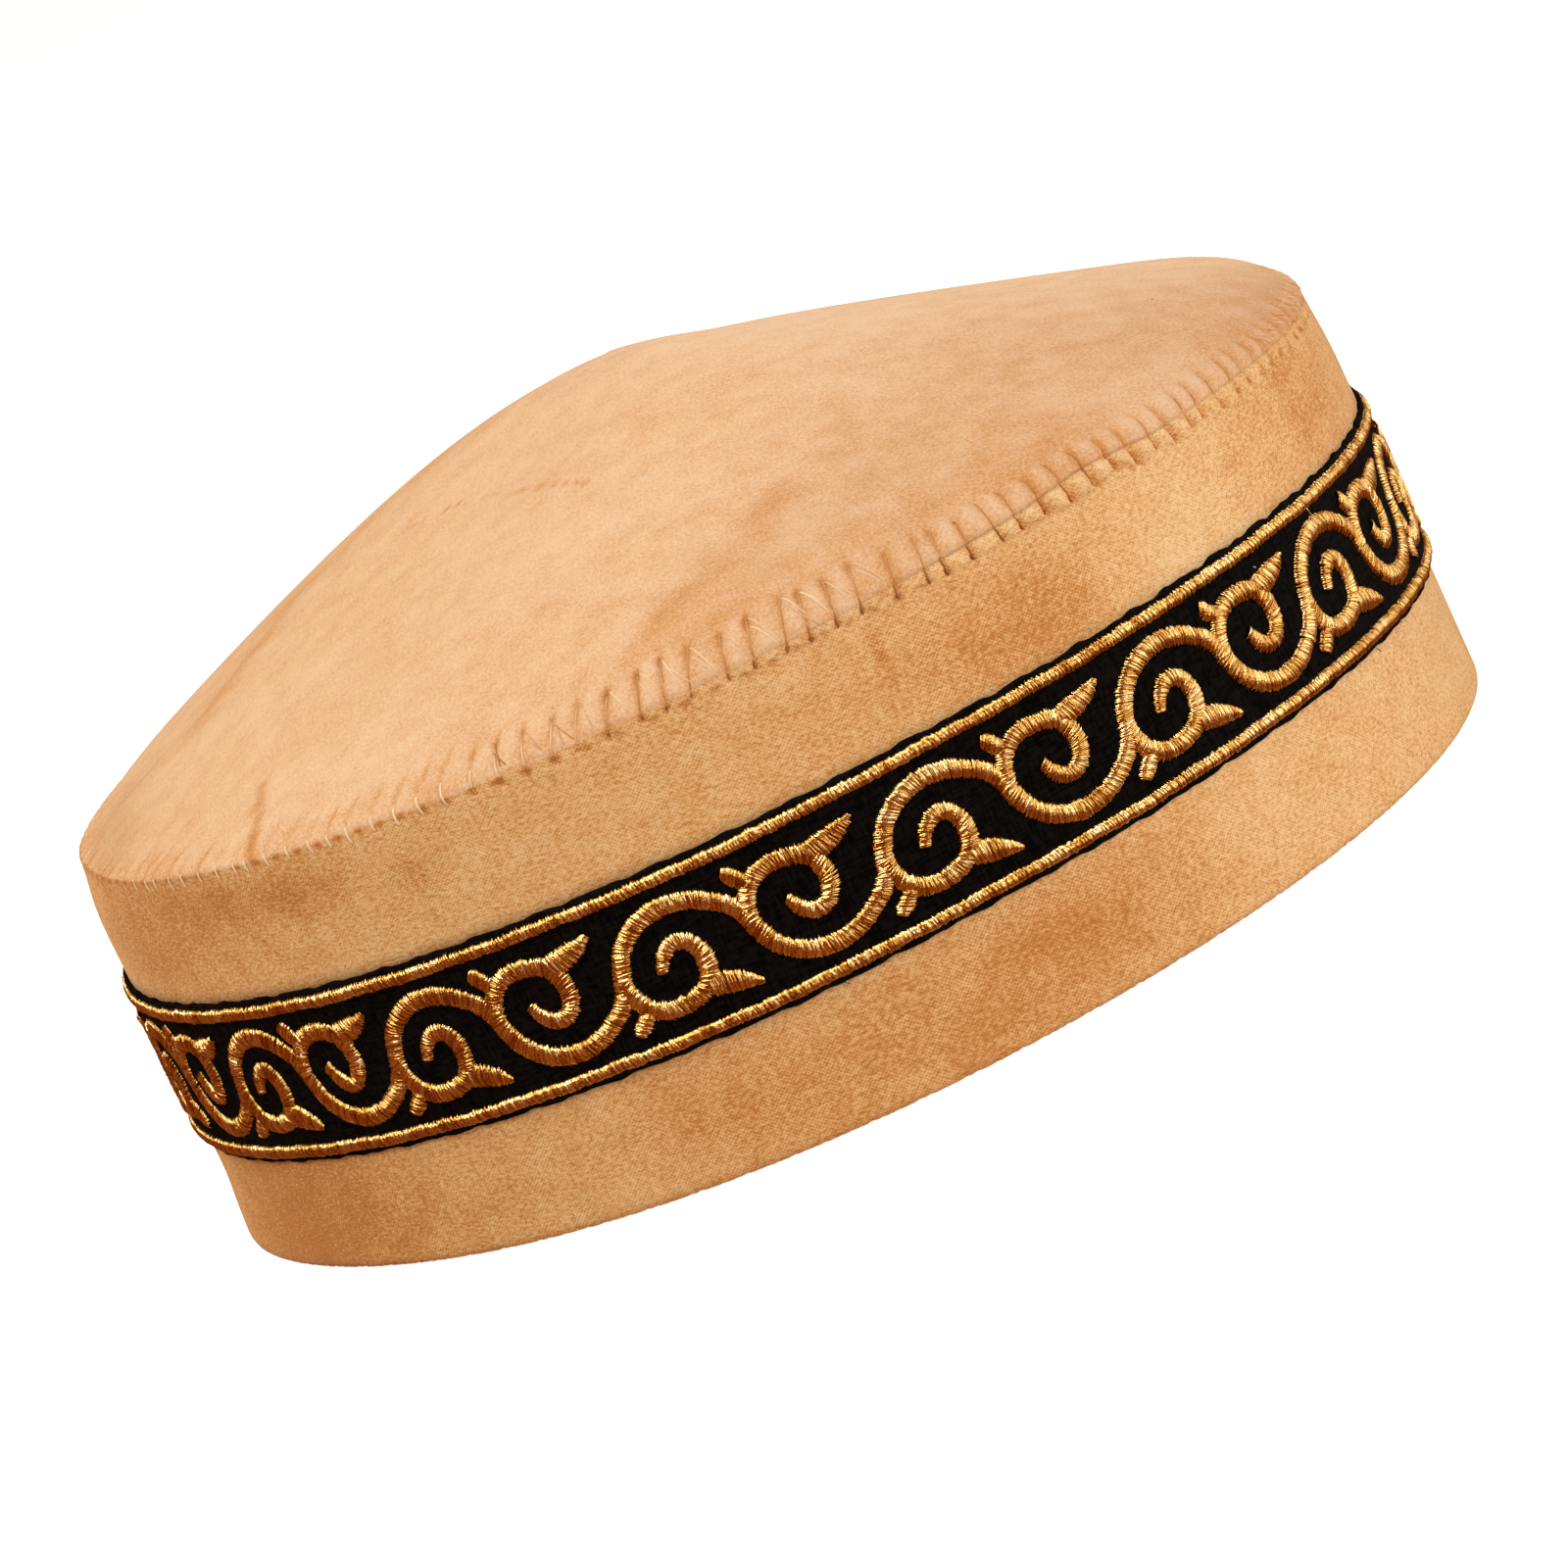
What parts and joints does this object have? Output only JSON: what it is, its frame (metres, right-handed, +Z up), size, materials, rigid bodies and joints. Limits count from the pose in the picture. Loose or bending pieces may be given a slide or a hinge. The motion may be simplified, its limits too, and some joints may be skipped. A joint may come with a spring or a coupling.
{
  "type": "velvet cap",
  "caption": "Round brimless velvet cap: upright side band, low pointed crown and a dark ribbon round the band with a raised running scroll in gold thread.",
  "frame": {"origin": "middle of the outline at the level of the hem that the cap stands on", "axes": "+Z up through the crown, -Y the front of the cap, +X along its widest way across"},
  "size_m": [0.191, 0.188, 0.0891],
  "materials": {
    "crown_velvet": "short napped velvet, tan",
    "band_velvet": "short napped velvet, tan",
    "ribbon_weave": "closely woven ribbon, matt black",
    "border_gold": "satin stitch in metallic gold thread",
    "scroll_gold": "satin stitch in metallic gold thread"
  },
  "bodies": {
    "root": {"crown": "crown_velvet", "side_band": "band_velvet", "ribbon": "ribbon_weave", "border_upper": "border_gold", "border_lower": "border_gold", "scroll_01": "scroll_gold", "scroll_02": "scroll_gold", "scroll_03": "scroll_gold", "scroll_04": "scroll_gold", "scroll_05": "scroll_gold", "scroll_06": "scroll_gold", "scroll_07": "scroll_gold", "scroll_08": "scroll_gold", "scroll_09": "scroll_gold", "scroll_10": "scroll_gold", "scroll_11": "scroll_gold", "scroll_12": "scroll_gold", "scroll_13": "scroll_gold", "scroll_14": "scroll_gold", "scroll_15": "scroll_gold", "scroll_16": "scroll_gold"}
  },
  "joints": []
}
